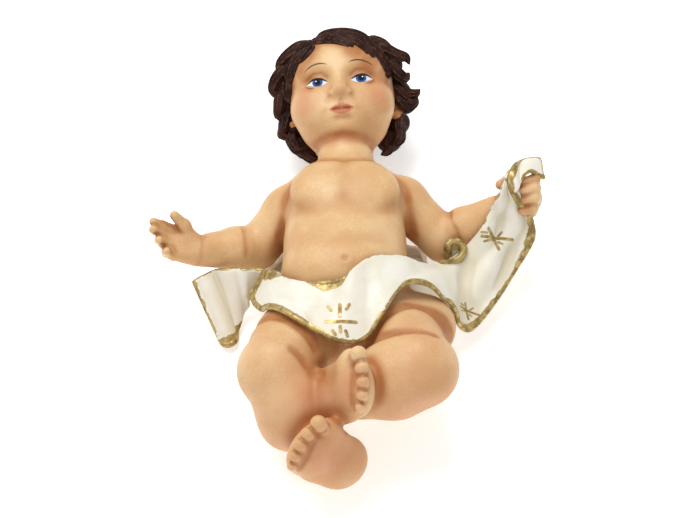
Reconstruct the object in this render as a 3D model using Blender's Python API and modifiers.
# A lying infant figurine, cast in one piece of resin: child, curled hair and draped cloth.
# The figure lies on its back: +Y runs from the feet to the head, +X to the child's left, +Z up.
# The pose is written in shares of the figure's length, where DESIGN_LENGTH shares make the whole.

import math

import bmesh
import bpy
import numpy as np
from mathutils import Euler, Matrix, Vector

FIGURE_LENGTH = 0.200
DESIGN_LENGTH = 188.0
SHARE = FIGURE_LENGTH / DESIGN_LENGTH

CLOTH_THICKNESS = 0.0020
FOOT_SIZE = 1.22
HAND_SIZE = 1.1
SKIN_VOXEL = 0.0011
CAST_VOXEL = 0.0009
MOST_TRIANGLES = 9600
CAST_COLOUR = (0.80, 0.60, 0.42, 1.0)

# Where the main joints of the child lie, in shares, from the point on the ground under the navel.
NECK = (0.6, 36.0, 22.0)
HEAD = (-1.0, 70.5, 25.0)
HEAD_TURN = (13.0, -5.0, 3.5)
SHOULDER_RIGHT = (-20.5, 22.5, 18.0)
ELBOW_RIGHT = (-32.0, 11.5, 11.0)
WRIST_RIGHT = (-53.0, 3.0, 20.8)
SHOULDER_LEFT = (21.0, 26.0, 19.0)
ELBOW_LEFT = (36.0, 14.5, 11.5)
WRIST_LEFT = (57.5, 19.0, 25.2)
HIP_RIGHT = (-13.0, -27.0, 17.5)
KNEE_RIGHT = (-23.5, -51.5, 28.0)
ANKLE_RIGHT = (-8.0, -74.0, 17.5)
HIP_LEFT = (13.5, -27.0, 17.5)
KNEE_LEFT = (25.2, -53.8, 32.6)
ANKLE_LEFT = (2.4, -61.0, 27.8)


def ball(centre, radii, turn=(0.0, 0.0, 0.0), blend=3.0):
    """An ellipsoid of flesh: its centre, its three radii, its turn in degrees, how softly it joins."""
    axes = np.array(Euler([math.radians(a) for a in turn]).to_matrix())
    return {
        "kind": "ball",
        "centre": np.array(centre),
        "radii": np.array(radii),
        "axes": axes,
        "blend": blend,
    }


def limb(start, end, start_radius, end_radius, blend=3.0):
    """A tapering limb with round ends."""
    return {
        "kind": "limb",
        "start": np.array(start),
        "end": np.array(end),
        "radii": (start_radius, end_radius),
        "blend": blend,
    }


def dent(points, depth, width):
    """A hollow pressed into the forms before it, along a path."""
    return {"kind": "dent", "path": np.array(points, float), "depth": depth, "width": width, "blend": 0}


def chain(points, radii, blend=1.0, first_blend=None):
    """Limbs end to end, such as the bones of a finger."""
    made = []
    for i in range(len(points) - 1):
        soft = first_blend if i == 0 and first_blend else blend
        made.append(limb(points[i], points[i + 1], radii[i], radii[i + 1], soft))
    return made


def placed(forms, origin, axes, size=1.0):
    """Scales forms, then moves them from their own axes, given as three unit columns, to the figure's."""
    origin, axes = np.array(origin), np.array(axes)
    for form in forms:
        if form["kind"] == "ball":
            form["centre"] = size * axes @ form["centre"] + origin
            form["radii"] = size * np.array(form["radii"])
            form["axes"] = axes @ form["axes"]
        elif form["kind"] == "dent":
            form["path"] = size * form["path"] @ axes.T + origin
        else:
            form["start"] = size * axes @ form["start"] + origin
            form["end"] = size * axes @ form["end"] + origin
            form["radii"] = (size * form["radii"][0], size * form["radii"][1])
    return forms


def axes_from(along, facing):
    """Columns x, y, z where y runs along and z faces the given way, as near as it can."""
    y = np.array(along) / np.linalg.norm(along)
    z = np.array(facing) - (np.array(facing) @ y) * y
    z /= np.linalg.norm(z)
    return np.column_stack([np.cross(y, z), y, z])


def between(a, b, share):
    return tuple(np.array(a) + (np.array(b) - np.array(a)) * share)


def ball_distance(points, form):
    local = (points - form["centre"]) @ form["axes"] / form["radii"]
    k0 = np.linalg.norm(local, axis=1)
    k1 = np.linalg.norm(local / form["radii"], axis=1)
    return k0 * (k0 - 1.0) / np.maximum(k1, 1e-9)


def limb_distance(points, form):
    """Distance to a cone with round ends."""
    start, end = form["start"], form["end"]
    start_radius, end_radius = form["radii"]
    along = end - start
    length2 = along @ along
    shrink = start_radius - end_radius
    slope2 = length2 - shrink * shrink
    offset = points - start
    y = offset @ along
    z = y - length2
    x2 = ((offset * length2 - np.outer(y, along)) ** 2).sum(1)
    y2 = y * y * length2
    z2 = z * z * length2
    limit = np.sign(shrink) * shrink * shrink * x2
    side = (np.sqrt(x2 * slope2 / length2) + y * shrink) / length2 - start_radius
    far_end = np.sqrt(x2 + z2) / length2 - end_radius
    near_end = np.sqrt(x2 + y2) / length2 - start_radius
    found = np.where(np.sign(y) * slope2 * y2 < limit, near_end, side)
    return np.where(np.sign(z) * slope2 * z2 > limit, far_end, found)


def soft_union(first, second, blend):
    mix = np.clip(0.5 + 0.5 * (second - first) / blend, 0.0, 1.0)
    return second + (first - second) * mix - blend * mix * (1.0 - mix)


def torso():
    return [
        ball((0, 24, 21.5), (22.0, 17, 17.0), blend=6),
        ball((0, 5, 22.0), (22.0, 22, 17.5), blend=8),
        ball((0, -12, 23.0), (22.5, 17, 18.5), blend=8),
        ball((0, -27, 19.0), (24.5, 13, 16.0), blend=6),
        ball((-9.5, 21, 33.5), (9.5, 8.5, 5.0), blend=5),
        ball((9.5, 21, 33.5), (9.5, 8.5, 5.0), blend=5),
        ball((-10.5, -30, 13.5), (12.0, 12, 12.5), blend=4),
        ball((10.5, -30, 13.5), (12.0, 12, 12.5), blend=4),
        limb(NECK, between(NECK, HEAD, 0.75), 10.4, 9.8, blend=3.0),
        ball((0, 33, 20.0), (15.0, 7, 11.0), blend=5),
    ]


def arm(shoulder, elbow, wrist):
    return [
        ball(shoulder, (9.5, 9.0, 9.5), blend=5),
        limb(shoulder, elbow, 8.8, 8.0, blend=2.5),
        limb(elbow, between(elbow, wrist, 0.35), 7.6, 7.7, blend=2.5),
        limb(between(elbow, wrist, 0.35), wrist, 7.6, 5.6, blend=2.5),
    ]


def leg(hip, knee, ankle, calf_radius):
    calf = between(knee, ankle, 0.38)
    return [
        limb(hip, between(hip, knee, 0.5), 14.5, 14.0, blend=4),
        limb(between(hip, knee, 0.4), knee, 13.8, 12.6, blend=3),
        limb(knee, calf, 11.8, calf_radius, blend=3),
        limb(calf, ankle, calf_radius - 0.4, 8.2, blend=3),
    ]


def skull():
    """The bare head in its own axes: x to the child's left, y to the crown, z out of the face."""
    return [
        ball((0, 4, -3), (20.3, 19.5, 20.5), blend=4),
        ball((0, -5, 2), (18.0, 16.0, 16.0), blend=6),
        ball((0, 7, 9), (15.5, 12.5, 9.3), blend=6),
        ball((-10.2, -8.6, 8.6), (8.6, 8.6, 8.0), blend=5),
        ball((10.2, -8.6, 8.6), (8.6, 8.6, 8.0), blend=5),
        ball((0, -18.6, 10.6), (5.8, 4.4, 5.2), blend=4),
        ball((0, -16.0, 3.0), (14.5, 6.5, 9.5), blend=5),
    ]


def nose():
    return [
        limb((0, 1.5, 15.4), (0, -5.2, 19.1), 1.9, 2.1, blend=3.5),
        ball((0, -6.0, 19.5), (2.35, 2.0, 2.3), blend=1.5),
        ball((-2.6, -6.8, 17.9), (1.6, 1.35, 1.8), blend=1.2),
        ball((2.6, -6.8, 17.9), (1.6, 1.35, 1.8), blend=1.2),
        dent(((-1.3, -8.0, 18.6), (-1.8, -7.9, 18.2)), 0.6, 0.55),
        dent(((1.3, -8.0, 18.6), (1.8, -7.9, 18.2)), 0.6, 0.55),
    ]


def mouth():
    forms = [
        ball((0, -13.2, 13.6), (8.6, 4.8, 4.2), blend=6),
        dent(((0, -10.2, 18.3), (0, -11.2, 18.5)), 0.3, 0.9),
    ]
    for side in (-1, 1):
        forms.append(limb((side * 4.5, -13.1, 16.4), (side * 1.25, -12.2, 18.0), 0.65, 1.0, blend=0.8))
    forms.append(limb((-4.2, -13.5, 16.4), (-1.4, -14.6, 17.4), 0.6, 1.15, blend=0.9))
    forms.append(limb((4.2, -13.5, 16.4), (1.4, -14.6, 17.4), 0.6, 1.15, blend=0.9))
    forms.append(limb((-1.4, -14.6, 17.4), (1.4, -14.6, 17.4), 1.15, 1.15, blend=0.9))
    parting = [(side * 2.2, -13.5 + 0.15 * abs(side), 18.8 - 0.45 * side**2) for side in (-2, -1, 0, 1, 2)]
    forms.append(dent(parting, 0.75, 0.5))
    forms.append(dent(((-2.4, -16.7, 16.8), (0, -16.9, 17.2), (2.4, -16.7, 16.8)), 0.7, 1.4))
    return forms


# Each eyeball: its centre for the left eye, its radius, and half the opening's width.
EYE = (8.2, -1.2, 11.6)
EYE_RADIUS = 4.9
EYE_HALF_WIDTH = 4.1


def lid(side, rise, radius):
    """An eyelid's edge: a thin roll over the eyeball from the inner corner to the outer one."""
    points = []
    for t in np.linspace(-1, 1, 9):
        x, y = EYE_HALF_WIDTH * t, rise * (1 - t * t) + 0.25 * t
        z = math.sqrt(max(EYE_RADIUS**2 - x * x - y * y, 1.0))
        points.append((side * (EYE[0] + x), EYE[1] + y, EYE[2] + z))
    return chain(points, [radius * (1 - 0.35 * abs(t)) for t in np.linspace(-1, 1, 9)], blend=0.5)


def eye(side):
    centre = (side * EYE[0], EYE[1], EYE[2])
    socket = ((side * 5.6, -0.6, 17.6), (side * 8.2, 0.2, 17.2), (side * 11.0, -0.6, 15.4))
    forms = [dent(socket, 1.9, 3.4), ball(centre, (EYE_RADIUS,) * 3, blend=0.5)]
    forms += lid(side, 2.3, 0.62) + lid(side, -1.7, 0.5)
    return forms


def ear(side):
    return [
        ball((side * 20.4, -4.0, -2.5), (1.8, 5.2, 3.4), (0, side * 24, 0), blend=1.2),
        ball((side * 19.6, -8.4, -1.2), (1.7, 2.0, 1.8), blend=1.2),
    ]


def head_axes():
    return np.array(Euler([math.radians(a) for a in HEAD_TURN]).to_matrix())


def head():
    forms = skull() + nose() + mouth() + eye(-1) + eye(1) + ear(-1) + ear(1)
    return placed(forms, HEAD, head_axes())


def bow(*points):
    """A path across the body, given from the middle to the left side, and the same on the right."""
    return [(-x, y, z) for x, y, z in reversed(points[1:])] + list(points)


# Carved lines. Each has its depth, its half width and its path; a negative depth is a raised line.
FACE_LINES = (
    (0.35, 0.6, ((4.6, 0.6, 17.2), (6.4, 2.3, 17.2), (9.4, 2.5, 16.4), (12.0, 1.0, 14.6))),
    (0.2, 0.9, ((3.9, -8.2, 17.4), (5.2, -10.0, 16.8))),
    (0.2, 0.9, ((5.5, -13.3, 16.0), (5.9, -13.6, 15.8))),
    (0.9, 0.9, ((20.6, -1.6, -0.6), (21.4, -4.0, -1.4), (20.8, -6.4, -1.0))),
)
BODY_LINES = (
    (0.6, 1.4, ((-18, 30, 33), (-21, 22, 30), (-22.4, 11.2, 19))),
    (0.6, 1.4, ((18.5, 31, 33), (22, 23, 29), (24, 13, 17))),
    (0.25, 2.8, bow((0, 11.5, 39), (9.5, 7, 37.7), (17, 13, 34))),
    (0.2, 2.6, ((0, 30, 36), (0, 15, 38.8))),
    (0.6, 1.4, bow((0, 31.5, 35.5), (6, 33, 33), (11, 36, 27))),
    (0.5, 1.6, bow((0, 45.5, 34.5), (6, 46, 32), (11, 47, 25))),
    (1.2, 1.2, ((-0.3, -14.4, 41.2), (0.3, -14.4, 41.2))),
    (-0.5, 1, [(1.9 * math.cos(a), -14.5 + 1.5 * math.sin(a), 41.1) for a in np.linspace(0, 6.283, 9)]),
    (0.2, 3.2, bow((0, -6.5, 41), (14, -4, 38))),
    (1.6, 1.9, ((7, -44, 35), (11.8, -37.5, 37), (22.1, -29.5, 35), (32, -29.5, 26), (39, -33, 16))),
    (0.9, 1.5, ((10, -46, 37), (16, -44, 41), (24, -44.5, 43), (30, -46, 42))),
    (1.2, 1.8, ((-8, -46, 35), (-14, -40, 37), (-24, -34, 34), (-33, -34, 24))),
    (0.9, 1.4, ((-18, -50, 38.5), (-13, -53, 37.5), (-8, -58, 36))),
    (0.45, 1, ((-37.5, 13, 18.5), (-36.5, 9.5, 20.5), (-35.5, 6, 21), (-35, 2.5, 18.5))),
    (0.45, 1, ((39, 22, 16), (40, 17.5, 19.5), (41, 12.5, 20), (42, 8.5, 16.5))),
    (0.3, 0.9, ((-51, 8.5, 22), (-50.5, 5, 25.5), (-50.5, 0.5, 25), (-52, -2.5, 20.5))),
    (0.4, 0.9, ((54.5, 23.5, 25.5), (55.5, 20, 29.5), (56.5, 15.5, 28.5), (57.5, 13, 24.5))),
)
SOLE_LINES = (
    (0.45, 3.6, ((3.4, 6.5, 0), (3, 10, 0))),
    (0.6, 0.9, ((-7.4, 15.2, 0), (-3, 17.4, 0), (2, 18.9, 0), (6, 18.4, 0))),
)


def on_surface(path, forms):
    """The path's points, each moved onto the flesh."""
    points = np.array(path, float)
    for _ in range(12):
        here = flesh_distance(points, forms)
        slope = steepest(points, here, flesh_distance, forms)
        steep = np.maximum((slope**2).sum(1), 0.3)
        points = points - (np.clip(here, -1.5, 1.5) / steep)[:, None] * slope
    return points


def creases(forms):
    """All carved lines, laid on the flesh."""
    made = []
    for depth, width, path in FACE_LINES:
        for side in (-1, 1):
            path_here = np.array(path) * (side, 1, 1)
            made.append((depth, width, path_here @ head_axes().T + np.array(HEAD)))
    for depth, width, path in BODY_LINES:
        made.append((depth, width, np.array(path)))
    for heel, axes, side in FEET:
        for depth, width, path in SOLE_LINES:
            path_here = FOOT_SIZE * np.array(path) * (side, 1, 1)
            made.append((depth, width, path_here @ axes_from(*axes).T + np.array(heel)))
    return [(depth, width, on_surface(path, forms)) for depth, width, path in made]


def to_path(points, path):
    """Each point's distance to a path of straight pieces."""
    best = np.full(len(points), 99.0)
    for a, b in zip(path[:-1], path[1:]):
        run = b - a
        share = np.clip((points - a) @ run / max(run @ run, 1e-9), 0, 1)
        best = np.minimum(best, np.linalg.norm(points - a - share[:, None] * run, axis=1))
    return best


def carved_distance(points, body):
    """Distance to the flesh with its lines carved in."""
    forms, lines = body
    found = flesh_distance(points, forms)
    for depth, width, path in lines:
        low, high = path.min(0) - 3 * width, path.max(0) + 3 * width
        near = ((points > low) & (points < high)).all(1)
        if near.any():
            found[near] += depth * np.exp(-((to_path(points[near], path) / width) ** 2))
    return found


def hand(thumb_side, curls, thumb):
    """A hand in its own axes: the wrist at the origin, the fingers along y, the palm facing z."""
    forms = [
        ball((0, 6.5, 0), (5.6, 6.6, 3.6), blend=2.5),
        ball((thumb_side * 3.2, 4.6, 1.2), (3.0, 4.4, 3.0), blend=2),
        ball((thumb_side * -3.0, 5.0, 0.8), (2.6, 4.6, 3.0), blend=2),
    ]
    lengths = (4.4, 4.8, 4.4, 3.6)
    for i, curl in enumerate(curls):
        base = np.array((thumb_side * (4.3 - 2.9 * i), 11.2 - 0.35 * i * i, 0.2))
        points, angle = [base], 0.0
        for bend in curl:
            angle += math.radians(bend)
            points.append(points[-1] + lengths[i] * np.array((0, math.cos(angle), math.sin(angle))))
        forms += chain(points, (2.0, 1.85, 1.5), blend=0.8, first_blend=1.2)
    forms += chain([(thumb_side * x, y, z) for x, y, z in thumb], (2.5, 2.2, 1.7), blend=1.2)
    return forms


def right_hand():
    curls = ((12, 14), (18, 22), (26, 28), (34, 34))
    forms = hand(1, curls, ((2.8, 3.2, 1.5), (6.8, 8.2, 3.2), (8.8, 13.2, 4.6)))
    return placed(forms, WRIST_RIGHT, axes_from((-0.88, 0.06, 0.47), (0.36, -0.52, 0.77)), 0.9 * HAND_SIZE)


def left_hand():
    curls = ((65, 75), (70, 75), (70, 75), (70, 70))
    forms = hand(-1, curls, ((3.4, 3.5, 1.5), (6.4, 4.4, 4.8), (5.8, 2.8, 8.4)))
    return placed(forms, WRIST_LEFT, axes_from((0.90, 0.12, 0.42), (-0.30, -0.45, 0.84)), HAND_SIZE)


def foot(toe_side):
    """A foot in its own axes: the heel's sole at the origin, the toes along y, the sole facing z."""
    forms = [
        ball((0, 0.5, -6.0), (8.0, 7.6, 6.5), blend=2.5),
        ball((toe_side * -0.8, 8.2, -5.4), (8.7, 9.6, 5.2), blend=3),
        ball((toe_side * -0.1, 14.2, -4.4), (9.3, 6.0, 4.3), blend=3),
    ]
    toes = ((5.8, 20.9, 2.25), (1.9, 21.2, 1.85), (-1.7, 20.5, 1.75), (-4.9, 19.1, 1.6), (-7.6, 17.1, 1.45))
    for across, along, radius in toes:
        forms.append(limb((toe_side * across * 0.88, along - 4.5, -3.2), (toe_side * across, along, -2.4),
                          radius * 0.8, radius, blend=0.7))
    return forms


# Each foot: where the heel's sole is, which way the toes and the sole point, and the big toe's side.
FEET = (
    ((2.2, -84.8, 16.0), ((-0.55, 0.0, 0.82), (0.42, -0.82, 0.39)), 1),
    ((-10.7, -63.6, 31.1), ((0.55, -0.17, 0.82), (-0.814, -0.335, 0.477)), -1),
)


def feet():
    made = []
    for heel, axes, side in FEET:
        made += placed(foot(side), heel, axes_from(*axes), FOOT_SIZE)
    return made


def child():
    return (
        torso()
        + arm(SHOULDER_RIGHT, ELBOW_RIGHT, WRIST_RIGHT)
        + arm(SHOULDER_LEFT, ELBOW_LEFT, WRIST_LEFT)
        + leg(HIP_RIGHT, KNEE_RIGHT, ANKLE_RIGHT, 12.2)
        + leg(HIP_LEFT, KNEE_LEFT, ANKLE_LEFT, 13.2)
        + [
            ball((-20.0, -64.0, 18.0), (9.3, 11.0, 10.2), blend=5),
            ball((27.0, -26.0, 15.0), (12.0, 11.0, 14.0), blend=5),
        ]
        + feet()
        + right_hand()
        + left_hand()
        + head()
    )


def flesh_distance(points, forms):
    """Distance from each point to the softly joined forms; far forms are passed over."""
    found = np.full(len(points), 99.0)
    for form in forms:
        if form["kind"] == "dent":
            near = ((points - form["path"].mean(0)) ** 2).sum(1) < 400.0
            if near.any():
                hollow = np.exp(-((to_path(points[near], form["path"]) / form["width"]) ** 2))
                found[near] += form["depth"] * hollow
            continue
        if form["kind"] == "ball":
            centre, reach = form["centre"], form["radii"].max()
        else:
            centre = (form["start"] + form["end"]) / 2
            reach = np.linalg.norm(form["end"] - form["start"]) / 2 + max(form["radii"])
        near = ((points - centre) ** 2).sum(1) < (reach + 10.0) ** 2
        if not near.any():
            continue
        measure = ball_distance if form["kind"] == "ball" else limb_distance
        found[near] = soft_union(found[near], measure(points[near], form), form["blend"])
    return found


def steepest(points, here, distance, forms):
    """Which way a distance grows from each point, and how fast."""
    step = 0.05
    ahead = [distance(points + step * np.eye(3)[k], forms) for k in range(3)]
    return (np.stack(ahead, 1) - here[:, None]) / step


def form_mesh(form):
    """The form as a plain Blender shape: a scaled sphere, or the hull of a limb's two end spheres."""
    shape = bmesh.new()
    if form["kind"] == "ball":
        turned = Matrix.Translation(form["centre"]) @ Matrix(form["axes"]).to_4x4()
        sized = turned @ Matrix.Diagonal((*form["radii"], 1))
        bmesh.ops.create_uvsphere(shape, u_segments=24, v_segments=14, radius=1.0, matrix=sized)
    else:
        for end, radius in zip((form["start"], form["end"]), form["radii"]):
            place = Matrix.Translation(end)
            bmesh.ops.create_uvsphere(shape, u_segments=18, v_segments=11, radius=radius, matrix=place)
        hull = bmesh.ops.convex_hull(shape, input=shape.verts)
        bmesh.ops.delete(shape, geom=hull["geom_interior"], context="VERTS")
    return shape


def rough_flesh(name, forms, voxel):
    """Every form's plain shape, fused by a voxel remesh into one closed skin."""
    whole = bmesh.new()
    for form in forms:
        if form["kind"] == "dent":
            continue
        shape = form_mesh(form)
        piece = bpy.data.meshes.new("form")
        shape.to_mesh(piece)
        shape.free()
        whole.from_mesh(piece)
        bpy.data.meshes.remove(piece)
    mesh = bpy.data.meshes.new(name)
    whole.to_mesh(mesh)
    whole.free()
    body = bpy.data.objects.new(name, mesh)
    bpy.context.scene.collection.objects.link(body)
    fuse = body.modifiers.new("fuse", "REMESH")
    fuse.mode = "VOXEL"
    fuse.voxel_size = voxel
    return body


def baked(obj):
    """The object as a plain mesh, with its modifiers worked in."""
    graph = bpy.context.evaluated_depsgraph_get()
    mesh = bpy.data.meshes.new_from_object(obj.evaluated_get(graph))
    if obj.type == "MESH":
        obj.modifiers.clear()
        obj.data = mesh
        return obj
    made = bpy.data.objects.new(obj.name, mesh)
    bpy.context.scene.collection.objects.link(made)
    bpy.data.objects.remove(obj)
    return made


def largest_only(body):
    """Drops the stray closed shells inside a fused body, and tells how many shells there were."""
    shape = bmesh.new()
    shape.from_mesh(body.data)
    shells, left = [], set(shape.verts)
    while left:
        shell, front = set(), [left.pop()]
        while front:
            vert = front.pop()
            shell.add(vert)
            for edge in vert.link_edges:
                other = edge.other_vert(vert)
                if other in left:
                    left.discard(other)
                    front.append(other)
        shells.append(shell)
    shells.sort(key=len)
    for shell in shells[:-1]:
        bmesh.ops.delete(shape, geom=list(shell), context="VERTS")
    shape.to_mesh(body.data)
    shape.free()
    return len(shells)


def relaxed(points, edges, share):
    """Each point moved towards the middle of its neighbours."""
    total, count = np.zeros_like(points), np.zeros(len(points))
    for a, b in ((0, 1), (1, 0)):
        np.add.at(total, edges[:, a], points[edges[:, b]])
        np.add.at(count, edges[:, a], 1)
    return points + share * (total / np.maximum(count, 1)[:, None] - points)


def settle(body, forms, distance=carved_distance, rounds=5):
    """Moves every vertex onto the softly joined surface, so that limbs flow into the body."""
    mesh = body.data
    points = np.empty(len(mesh.vertices) * 3)
    mesh.vertices.foreach_get("co", points)
    points = points.reshape(-1, 3)
    edges = np.empty(len(mesh.edges) * 2, np.int32)
    mesh.edges.foreach_get("vertices", edges)
    edges = edges.reshape(-1, 2)
    for turn in range(rounds):
        if turn < rounds - 1:
            points = relaxed(points, edges, 0.5)
        here = distance(points, forms)
        slope = steepest(points, here, distance, forms)
        length2 = np.maximum((slope**2).sum(1), 0.2)
        move = np.clip(here / length2, -2.0, 2.0)
        points = points - move[:, None] * slope
    mesh.vertices.foreach_set("co", points.ravel())
    mesh.update()
    return body


# The loincloth and its long end, from the rolled corner on the right hip to the fist: each row
# gives the upper edge, then the lower edge, as seen from above.
SWAG = (
    ((-28.5, -7.0, 21.5), (-33.0, -12.5, 15.5)),
    ((-26.5, -10.5, 26.0), (-31.0, -19.5, 19.5)),
    ((-21.5, -16.5, 31.5), (-27.0, -27.0, 27.0)),
    ((-15.4, -22.0, 36.5), (-19.6, -35.5, 36.5)),
    ((-7.8, -23.6, 39.5), (-11.4, -40.5, 38.0)),
    ((-1.0, -23.6, 41.0), (-5.1, -44.5, 37.5)),
    ((2.4, -21.5, 42.0), (0.5, -46.0, 37.5)),
    ((5.8, -17.8, 42.5), (6.6, -44.0, 38.0)),
    ((11.0, -14.3, 42.0), (11.8, -36.9, 39.5)),
    ((19.0, -11.8, 37.5), (16.8, -27.0, 38.5)),
    ((26.0, -9.5, 30.0), (22.5, -21.0, 36.5)),
    ((32.6, -4.0, 21.5), (29.4, -20.5, 33.5)),
    ((38.5, 1.5, 17.0), (36.0, -21.0, 23.0)),
    ((43.2, 5.0, 19.0), (42.8, -22.2, 7.6)),
    ((48.5, 8.6, 23.5), (53.8, -10.5, 9.0)),
    ((50.8, 11.2, 27.5), (62.2, 1.6, 14.5)),
    ((53.2, 15.0, 31.5), (67.0, 9.4, 21.0)),
    ((55.2, 17.6, 35.0), (66.4, 13.4, 27.5)),
    ((56.7, 20.0, 38.0), (62.8, 14.3, 34.5)),
    ((57.7, 22.0, 39.5), (59.9, 16.5, 38.8)),
    ((58.6, 24.0, 39.5), (58.8, 19.5, 40.5)),
)
FRILL = (
    ((-20.0, -3.0, 14.0), (-24.0, -6.0, 3.0)),
    ((-25.0, -4.0, 17.0), (-29.0, -7.0, 5.0)),
    ((-29.5, -5.0, 18.5), (-34.0, -9.0, 8.0)),
    ((-34.5, -3.2, 18.0), (-36.5, -10.5, 6.5)),
    ((-40.0, -3.0, 17.5), (-37.6, -16.0, 4.0)),
    ((-46.0, -3.4, 17.0), (-38.4, -21.5, 2.5)),
    ((-50.5, -5.0, 16.0), (-41.2, -24.5, 2.0)),
    ((-53.8, -6.5, 15.0), (-44.0, -24.0, 2.0)),
)
WRAP = (
    ((58.3, 17.5, 41.0), (60.4, 15.6, 39.5)),
    ((58.6, 21.4, 41.5), (61.6, 19.0, 40.5)),
    ((60.9, 26.6, 40.5), (63.6, 22.4, 40.5)),
    ((64.2, 30.8, 38.0), (67.0, 24.0, 39.5)),
    ((69.7, 33.2, 34.5), (71.2, 24.6, 36.5)),
)
VOLUTE = (
    ((34.0, -2.5, 21.0), (34.5, -4.5, 12.0)),
    ((38.0, -0.5, 19.5), (38.5, -2.5, 10.0)),
    ((41.4, 1.5, 19.5), (42.0, 0.0, 10.0)),
    ((42.6, 4.2, 20.5), (42.8, 3.0, 11.0)),
    ((40.9, 6.4, 21.5), (41.0, 5.6, 12.0)),
    ((38.2, 6.6, 21.5), (38.6, 5.8, 12.0)),
    ((36.6, 5.0, 21.0), (37.2, 4.2, 12.0)),
)
CLEARANCE = 1.3


def along(rows, where):
    """A smooth curve through the rows, at each place from 0 at the first to 1 at the last."""
    rows = np.array(rows, float)
    rows = np.vstack([2 * rows[:1] - rows[1:2], rows, 2 * rows[-1:] - rows[-2:-1]])
    place = np.clip(np.asarray(where) * (len(rows) - 3), 0, len(rows) - 3 - 1e-6)
    first = place.astype(int)
    t = (place - first).reshape(-1, *[1] * (rows.ndim - 1))
    a, b, c, d = (rows[first + k] for k in range(4))
    return 0.5 * (2 * b + (c - a) * t + (2 * a - 5 * b + 4 * c - d) * t**2 + (3 * b - a - 3 * c + d) * t**3)


def cloth_points(rows, long, wide, folds, forms, lift=0.0):
    """A grid of cloth between its two edges: folded by waves, and held off the flesh."""
    u = np.repeat(np.linspace(0, 1, long + 1), wide + 1)
    v = np.tile(np.linspace(0, 1, wide + 1), long + 1)
    edges = along(rows, u)
    points = edges[:, 0] + (edges[:, 1] - edges[:, 0]) * v[:, None]
    grid = points.reshape(long + 1, wide + 1, 3)
    normal = np.cross(np.gradient(grid, axis=0), np.gradient(grid, axis=1)).reshape(-1, 3)
    normal /= np.linalg.norm(normal, axis=1)[:, None]
    shift = lift * np.sin(np.pi * v)
    for height, count, phase, slant, start, end in folds:
        inside = np.clip((u - start) / 0.12, 0, 1) * np.clip((end - u) / 0.12, 0, 1)
        shift = shift + height * inside * np.sin(2 * np.pi * (count * u + slant * v) + phase)
    points = points + shift[:, None] * normal
    if forms:
        for _ in range(6):
            here = flesh_distance(points, forms)
            low = (here < CLEARANCE) & (u < 0.70)
            if not low.any():
                break
            near = points[low]
            slope = steepest(near, here[low], flesh_distance, forms)
            slope /= np.maximum(np.linalg.norm(slope, axis=1), 0.3)[:, None]
            points[low] = near + np.minimum(CLEARANCE - here[low], 3.0)[:, None] * slope
        edges = points.reshape(long + 1, wide + 1, 3)
        for _ in range(3):
            inner = (edges[:-2, 1:-1] + edges[2:, 1:-1] + edges[1:-1, :-2] + edges[1:-1, 2:]) / 4
            edges[1:-1, 1:-1] += 0.5 * (inner - edges[1:-1, 1:-1])
        points = edges.reshape(-1, 3)
    return points


def cloth_sheet(name, points, long, wide, thickness):
    """A woven sheet of even thickness through the grid of points."""
    sheet = bmesh.new()
    bmesh.ops.create_grid(sheet, x_segments=wide, y_segments=long, size=0.5)
    for vert, point in zip(sheet.verts, points):
        vert.co = point
    mesh = bpy.data.meshes.new(name)
    sheet.to_mesh(mesh)
    sheet.free()
    cloth = bpy.data.objects.new(name, mesh)
    bpy.context.scene.collection.objects.link(cloth)
    thick = cloth.modifiers.new("thickness", "SOLIDIFY")
    thick.thickness = thickness
    thick.offset = 0.0
    return baked(cloth)


SWAG_FOLDS = (
    (0.8, 5.5, 0.5, 0.25, 0.0, 0.56),
    (0.9, 7.8, 1.0, 0.45, 0.56, 0.9),
    (0.9, 0.8, 0.4, 2.1, 0.60, 1.2),
)
FRILL_FOLDS = ((1.3, 2.2, 0.9, 0.15, -0.2, 1.2), (0.5, 5.0, 0.2, 0.2, -0.2, 1.2))
WRAP_FOLDS = ((0.7, 1.6, 1.0, 0.6, 0.0, 1.2),)


def cloth(forms, thickness, detail=1):
    made = []
    for name, rows, long, wide, folds, keep in (
        ("swag", SWAG, 90, 22, SWAG_FOLDS, forms),
        ("frill", FRILL, 36, 20, FRILL_FOLDS, None),
        ("wrap", WRAP, 30, 16, WRAP_FOLDS, None),
        ("volute", VOLUTE, 30, 10, (), None),
    ):
        long, wide = long * detail, wide * detail
        made.append(cloth_sheet(name, cloth_points(rows, long, wide, folds, keep), long, wide, thickness))
    return made


def underlay():
    """The cloth bunched under the back: a low pad with a fluted rim, flat on the ground."""
    pad = bmesh.new()
    bmesh.ops.create_cone(pad, cap_ends=True, segments=120, radius1=1.0, radius2=0.90, depth=1.0)
    for vert in pad.verts:
        angle = math.atan2(vert.co.y, vert.co.x)
        waves = ((0.05, 9, 0.0), (0.05, 5, 1.0), (0.02, 17, 0.0))
        swell = 1.0 + sum(height * math.sin(count * angle + phase) for height, count, phase in waves)
        top = vert.co.z > 0
        vert.co.x = 4.0 + 36.0 * swell * vert.co.x
        vert.co.y = -8.0 + 27.0 * swell * vert.co.y
        vert.co.z = 4.0 + 1.4 * math.sin(11 * angle + 0.7) if top else -1.0
    mesh = bpy.data.meshes.new("underlay")
    pad.to_mesh(mesh)
    pad.free()
    made = bpy.data.objects.new("underlay", mesh)
    bpy.context.scene.collection.objects.link(made)
    return made


# The hair grows from a whorl behind the crown. Each row of locks: how many, where around the
# whorl they start and end, how long they are, how far they stand off and how wide they are.
WHORL = (-0.28, 0.93, 0.10)
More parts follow.
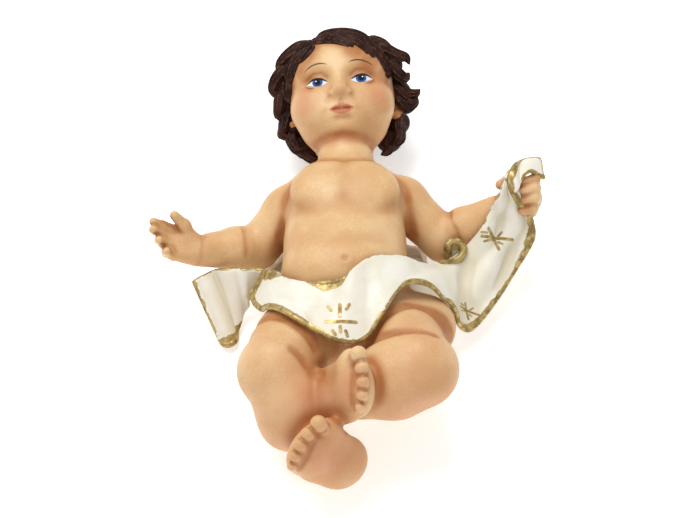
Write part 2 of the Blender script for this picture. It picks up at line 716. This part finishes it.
# The masses of hair at the temples, over the ears and at the nape: centres and radii, in the head's axes.
HAIR_MASSES = (
    ((-19.0, 9.5, 1.0), 5.5),
    ((-20.5, 1.0, -2.5), 5.5),
    ((-19.5, -8.0, -4.5), 4.8),
    ((-15.5, -15.0, -7.0), 5.0),
    ((18.5, 11.0, 2.0), 5.5),
    ((21.0, 2.0, -4.0), 5.2),
    ((20.0, -9.0, -7.0), 4.6),
    ((16.0, -15.5, -7.5), 5.0),
)
ROWS = (
    (9, 8.0, 26.0, 1.1, 3.4),
    (14, 24.0, 30.0, 1.3, 3.6),
    (18, 44.0, 32.0, 1.4, 3.8),
    (20, 64.0, 30.0, 1.5, 3.8),
    (20, 84.0, 26.0, 1.6, 3.6),
)


def scalp(direction, lift):
    """The point on the scalp in a direction from the middle of the head, raised by lift."""
    radii = np.array((20.8 + lift, 20.6 + lift, 20.6 + lift))
    return np.array((0, 3.5, -2.5)) + radii * direction / np.linalg.norm(direction)


def hairline(turn):
    """How far from the whorl the hair reaches, in degrees, by the turn around it: 0 faces forward."""
    front = math.cos(math.radians(turn))
    return 92.0 - 46.0 * front if front > 0 else 92.0 - 34.0 * front


def lock(turn, start, length, lift, width, sway, curl):
    """One lock: a path over the scalp that waves sideways, and whose tip curls up."""
    pole = np.array(WHORL) / np.linalg.norm(WHORL)
    front = np.array((0.12, 0.0, 1.0)) - (np.array((0.12, 0.0, 1.0)) @ pole) * pole
    front /= np.linalg.norm(front)
    side = np.cross(pole, front)
    path = []
    for t in np.linspace(0, 1, 9):
        polar = math.radians(start + length * t)
        angle = math.radians(turn + sway * math.sin(math.pi * (0.2 + 1.3 * t)) + curl * t * t)
        around = math.cos(angle) * front + math.sin(angle) * side
        raised = lift * math.sin(math.pi * min(1.0, 0.15 + t * 0.75)) + 2.2 * max(0.0, t - 0.7)
        path.append(scalp(math.cos(polar) * pole + math.sin(polar) * around, raised))
    return np.array(path), width


def locks():
    made = []
    for row, (count, start, length, lift, width) in enumerate(ROWS):
        for i in range(count):
            turn = 360.0 * (i + 0.5 * (row % 2)) / count
            wild = math.sin(7.3 * i + 2.1 * row)
            reach = hairline(turn) + 5.0 * wild
            if start > reach - 10.0:
                continue
            ends = min(start + length * (1.0 + 0.15 * wild), reach)
            curl = 14.0 * math.cos(3.1 * i + row)
            made.append(lock(turn, start, ends - start, lift, width, 9.0 * wild, curl))
    return made


# Locks that stand clear of the head, as paths in the head's own axes, and their half widths.
LOOSE = (
    (((-8.5, 19.2, 9), (-3.5, 21, 11), (4, 20.6, 12.6), (10, 18, 13.6), (14, 14, 13.6)), 4.4),
    (((-8.8, 18.5, 11), (-4, 18, 14), (1.5, 16, 16), (5.2, 13.2, 16.8), (6.2, 10.2, 17)), 3.7),
    (((1, 19.5, 13), (7, 17, 14.6), (11, 13, 14.8), (12.6, 9, 14.6), (11.4, 6.8, 15.2)), 3.7),
    (((9, 17.5, 12), (14, 13, 12), (17, 8.5, 10.8), (18.4, 4.5, 9.4), (17.4, 2, 10.4)), 3.4),
    (((-9, 20.5, 8.5), (-14.5, 19.2, 8.5), (-19.4, 16.6, 7.5), (-22.6, 14, 6), (-23.4, 10.6, 5)), 3.7),
    (((-10, 18, 10.5), (-14.6, 15, 10.4), (-17.8, 11, 9.2), (-19.6, 7, 8), (-19, 4, 8)), 3.2),
    (((-17, 14, 7), (-21.2, 11.5, 6), (-24.6, 8.5, 4.5), (-26.2, 4.8, 3), (-24, 2, 3)), 3.8),
    (((-20, 6, 3), (-23.2, 3, 2.5), (-24.4, -1, 1.5), (-24.8, -5, 1), (-22, -7, 1.6)), 3.4),
    (((-20, -1, -1), (-22.3, -5, -1.5), (-23.4, -9, -1.5), (-24.2, -12.4, -1.5), (-21, -13.4, -1)), 3.3),
    (((-19.5, -6, -5), (-21, -11, -5), (-20.2, -15.5, -4.2), (-18.4, -18.8, -3.5), (-15.4, -18, -2.5)), 3.4),
    (((-17.5, -9, -8), (-17.5, -15, -7.5), (-15, -20, -6.5), (-11, -22.6, -6), (-9, -21.2, -5.4)), 3.4),
    (((10, 19.5, 8), (14, 19, 8), (17.4, 17.6, 7.5), (19.6, 15.4, 7), (19.2, 13.4, 7)), 3.2),
    (((13, 17, 8), (17.5, 15, 8.5), (21.8, 12.4, 8), (25.6, 11.4, 6.5), (26.6, 8.6, 5.5)), 3.7),
    (((16, 12, 9), (20, 8, 8), (22.6, 5, 6.5), (25, 3.8, 5), (26.2, 5.8, 4)), 3.2),
    (((19.6, 5, 2), (22.6, 0.4, 1), (25.2, -1.6, 0), (28, -1, -0.5), (29.6, 1, -1)), 3.3),
    (((20, 0, 0), (22.6, -4.4, 0), (25.2, -5.8, -0.5), (27.4, -4.6, -1), (28.4, -2.2, -1)), 3.1),
    (((20, -4, -6), (21, -9, -5.5), (20.4, -14, -4.5), (20.2, -18.4, -3.6), (17, -20.6, -3.4)), 4),
    (((18, -4, -9), (18.2, -11, -8.5), (17, -17, -7.5), (15, -21.2, -6.5), (12.4, -22, -6.5)), 3.7),
)


def swelling(t):
    """How thick a lock is along its length: soon full, then thinning to a tip."""
    return np.clip(np.minimum(1.0, 0.45 + 2.5 * t) * (1.0 - t**2.4) ** 0.75, 0.08, 1.0)


def strands(path, half_width, count=3):
    """A lock as round strands side by side, which meet at its tip."""
    path = np.array(path)
    middle = np.array((0.0, 0.0, -2.5))
    t = np.linspace(0, 1, 13)
    centre = along(path, t)
    run = np.gradient(centre, axis=0)
    run /= np.linalg.norm(run, axis=1)[:, None]
    out = centre - middle
    out /= np.linalg.norm(out, axis=1)[:, None]
    side = np.cross(run, out)
    side /= np.maximum(np.linalg.norm(side, axis=1), 1e-6)[:, None]
    swell = swelling(t)
    made = []
    for k in range(count):
        across = (k - (count - 1) / 2) / ((count - 1) / 2)
        offset = across * half_width * 0.50 * swell
        line = centre + offset[:, None] * side - (0.30 * abs(across) * half_width * swell)[:, None] * out
        made.append((line, half_width * 0.60 * swell))
    return made


def hair_curves(name, paths, count=3, resolution=2):
    """All strands as tapering round curves."""
    curve = bpy.data.curves.new(name, "CURVE")
    curve.dimensions = "3D"
    curve.bevel_depth = 1.0
    curve.bevel_resolution = resolution
    curve.use_fill_caps = True
    axes, origin = head_axes(), np.array(HEAD)
    for path, width in paths:
        for line, radii in strands(path, width, count):
            spline = curve.splines.new("POLY")
            spline.points.add(len(line) - 1)
            for point, place, radius in zip(spline.points, line, radii):
                point.co = (*(axes @ place + origin), 1.0)
                point.radius = radius
    made = bpy.data.objects.new(name, curve)
    bpy.context.scene.collection.objects.link(made)
    return made


def hair_cap():
    """The mass of hair under the locks, cut away in front of the ears and above the brow."""
    cap = bmesh.new()
    size = Matrix.Diagonal((21.6, 21.4, 21.2, 1))
    bmesh.ops.create_uvsphere(cap, u_segments=48, v_segments=28, radius=1.0, matrix=size)
    bmesh.ops.translate(cap, verts=cap.verts, vec=(0, 3.5, -2.5))
    everything = cap.verts[:] + cap.edges[:] + cap.faces[:]
    brow, forward = (0, 12, 9), (0, -0.62, 0.78)
    bmesh.ops.bisect_plane(cap, geom=everything, plane_co=brow, plane_no=forward, clear_outer=True)
    rim = [edge for edge in cap.edges if edge.is_boundary]
    bmesh.ops.contextual_create(cap, geom=rim)
    for centre, radius in HAIR_MASSES:
        place = Matrix.Translation(centre)
        bmesh.ops.create_uvsphere(cap, u_segments=24, v_segments=16, radius=radius, matrix=place)
    axes, origin = head_axes(), np.array(HEAD)
    for vert in cap.verts:
        vert.co = axes @ np.array(vert.co) + origin
    mesh = bpy.data.meshes.new("hair cap")
    cap.to_mesh(mesh)
    cap.free()
    made = bpy.data.objects.new("hair cap", mesh)
    bpy.context.scene.collection.objects.link(made)
    return made


def fused(pieces):
    """All pieces as one closed skin at the figure's real size."""
    whole = bmesh.new()
    for piece in pieces:
        whole.from_mesh(piece.data)
        bpy.data.objects.remove(piece)
    bmesh.ops.scale(whole, vec=(SHARE, SHARE, SHARE), verts=whole.verts)
    mesh = bpy.data.meshes.new("figurine")
    whole.to_mesh(mesh)
    whole.free()
    figurine = bpy.data.objects.new("figurine", mesh)
    collection = bpy.data.collections.new("baby jesus figurine")
    bpy.context.scene.collection.children.link(collection)
    collection.objects.link(figurine)
    fuse = figurine.modifiers.new("fuse", "REMESH")
    fuse.mode = "VOXEL"
    fuse.voxel_size = CAST_VOXEL
    return baked(figurine)


def flat_base(figurine):
    """Cuts the underside level, and moves the origin to the middle of the box's underside."""
    shape = bmesh.new()
    shape.from_mesh(figurine.data)
    everything = shape.verts[:] + shape.edges[:] + shape.faces[:]
    ground = {"plane_co": (0, 0, 0), "plane_no": (0, 0, 1)}
    bmesh.ops.bisect_plane(shape, geom=everything, dist=1e-6, clear_inner=True, **ground)
    bmesh.ops.holes_fill(shape, edges=[edge for edge in shape.edges if edge.is_boundary], sides=0)
    bmesh.ops.triangulate(shape, faces=shape.faces)
    corners = np.array([vert.co for vert in shape.verts])
    middle = (corners.min(0) + corners.max(0)) / 2
    bmesh.ops.translate(shape, verts=shape.verts, vec=(-middle[0], -middle[1], -corners[:, 2].min()))
    bmesh.ops.recalc_face_normals(shape, faces=shape.faces)
    shape.to_mesh(figurine.data)
    shape.free()


def painted(figurine):
    paint = bpy.data.materials.new("painted resin")
    paint.use_nodes = True
    shader = paint.node_tree.nodes["Principled BSDF"]
    shader.inputs["Base Color"].default_value = CAST_COLOUR
    shader.inputs["Roughness"].default_value = 0.45
    shader.inputs["Metallic"].default_value = 0.0
    figurine.data.materials.clear()
    figurine.data.materials.append(paint)


def main():
    for old in list(bpy.data.objects):
        bpy.data.objects.remove(old)
    forms = child()
    skin = baked(rough_flesh("skin", forms, SKIN_VOXEL / SHARE))
    largest_only(skin)
    settle(skin, (forms, creases(forms)))
    hair = baked(hair_curves("hair", locks() + list(LOOSE)))
    pieces = [skin, hair, hair_cap(), underlay()] + cloth(forms, CLOTH_THICKNESS / SHARE)
    figurine = fused(pieces)
    fine = len(figurine.data.polygons) * 2
    shells = largest_only(figurine)
    fewer = figurine.modifiers.new("fewer", "DECIMATE")
    fewer.ratio = MOST_TRIANGLES / fine
    baked(figurine)
    flat_base(figurine)
    painted(figurine)
    size = figurine.dimensions
    print("shells", shells, "fine", fine, "triangles", len(figurine.data.polygons))
    print("size in mm", *(round(v * 1000, 1) for v in size))


if __name__ == "__main__":
    main()
